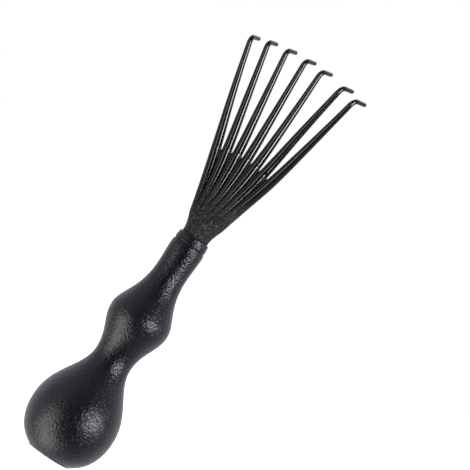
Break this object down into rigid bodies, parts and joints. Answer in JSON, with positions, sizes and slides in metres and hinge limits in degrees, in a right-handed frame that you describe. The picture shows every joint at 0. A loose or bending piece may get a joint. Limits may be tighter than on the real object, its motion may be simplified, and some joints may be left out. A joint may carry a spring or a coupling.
{
  "type": "hair brush cleaning rake",
  "caption": "Small hand rake for cleaning hair brushes: a turned wooden handle with two swellings, and a moulded nylon fan of thin tines whose tips turn forward into hooks.",
  "frame": {"origin": "centre of the handle's flat foot, on its face", "axes": "+Z along the handle's axis towards the tines, +X across the fan, and +Y the way the hooks point"},
  "size_m": [0.0407, 0.0256, 0.13],
  "materials": {
    "lacquered_wood": "black gloss lacquer over turned wood, with a fine orange-peel texture",
    "nylon": "black moulded nylon, finely speckled on the web and satin on the tines",
    "adhesive": "cured amber adhesive, hidden inside the neck"
  },
  "bodies": {
    "root": {"handle": "lacquered_wood", "rake_head": "nylon", "socket_adhesive": "adhesive"}
  },
  "joints": []
}
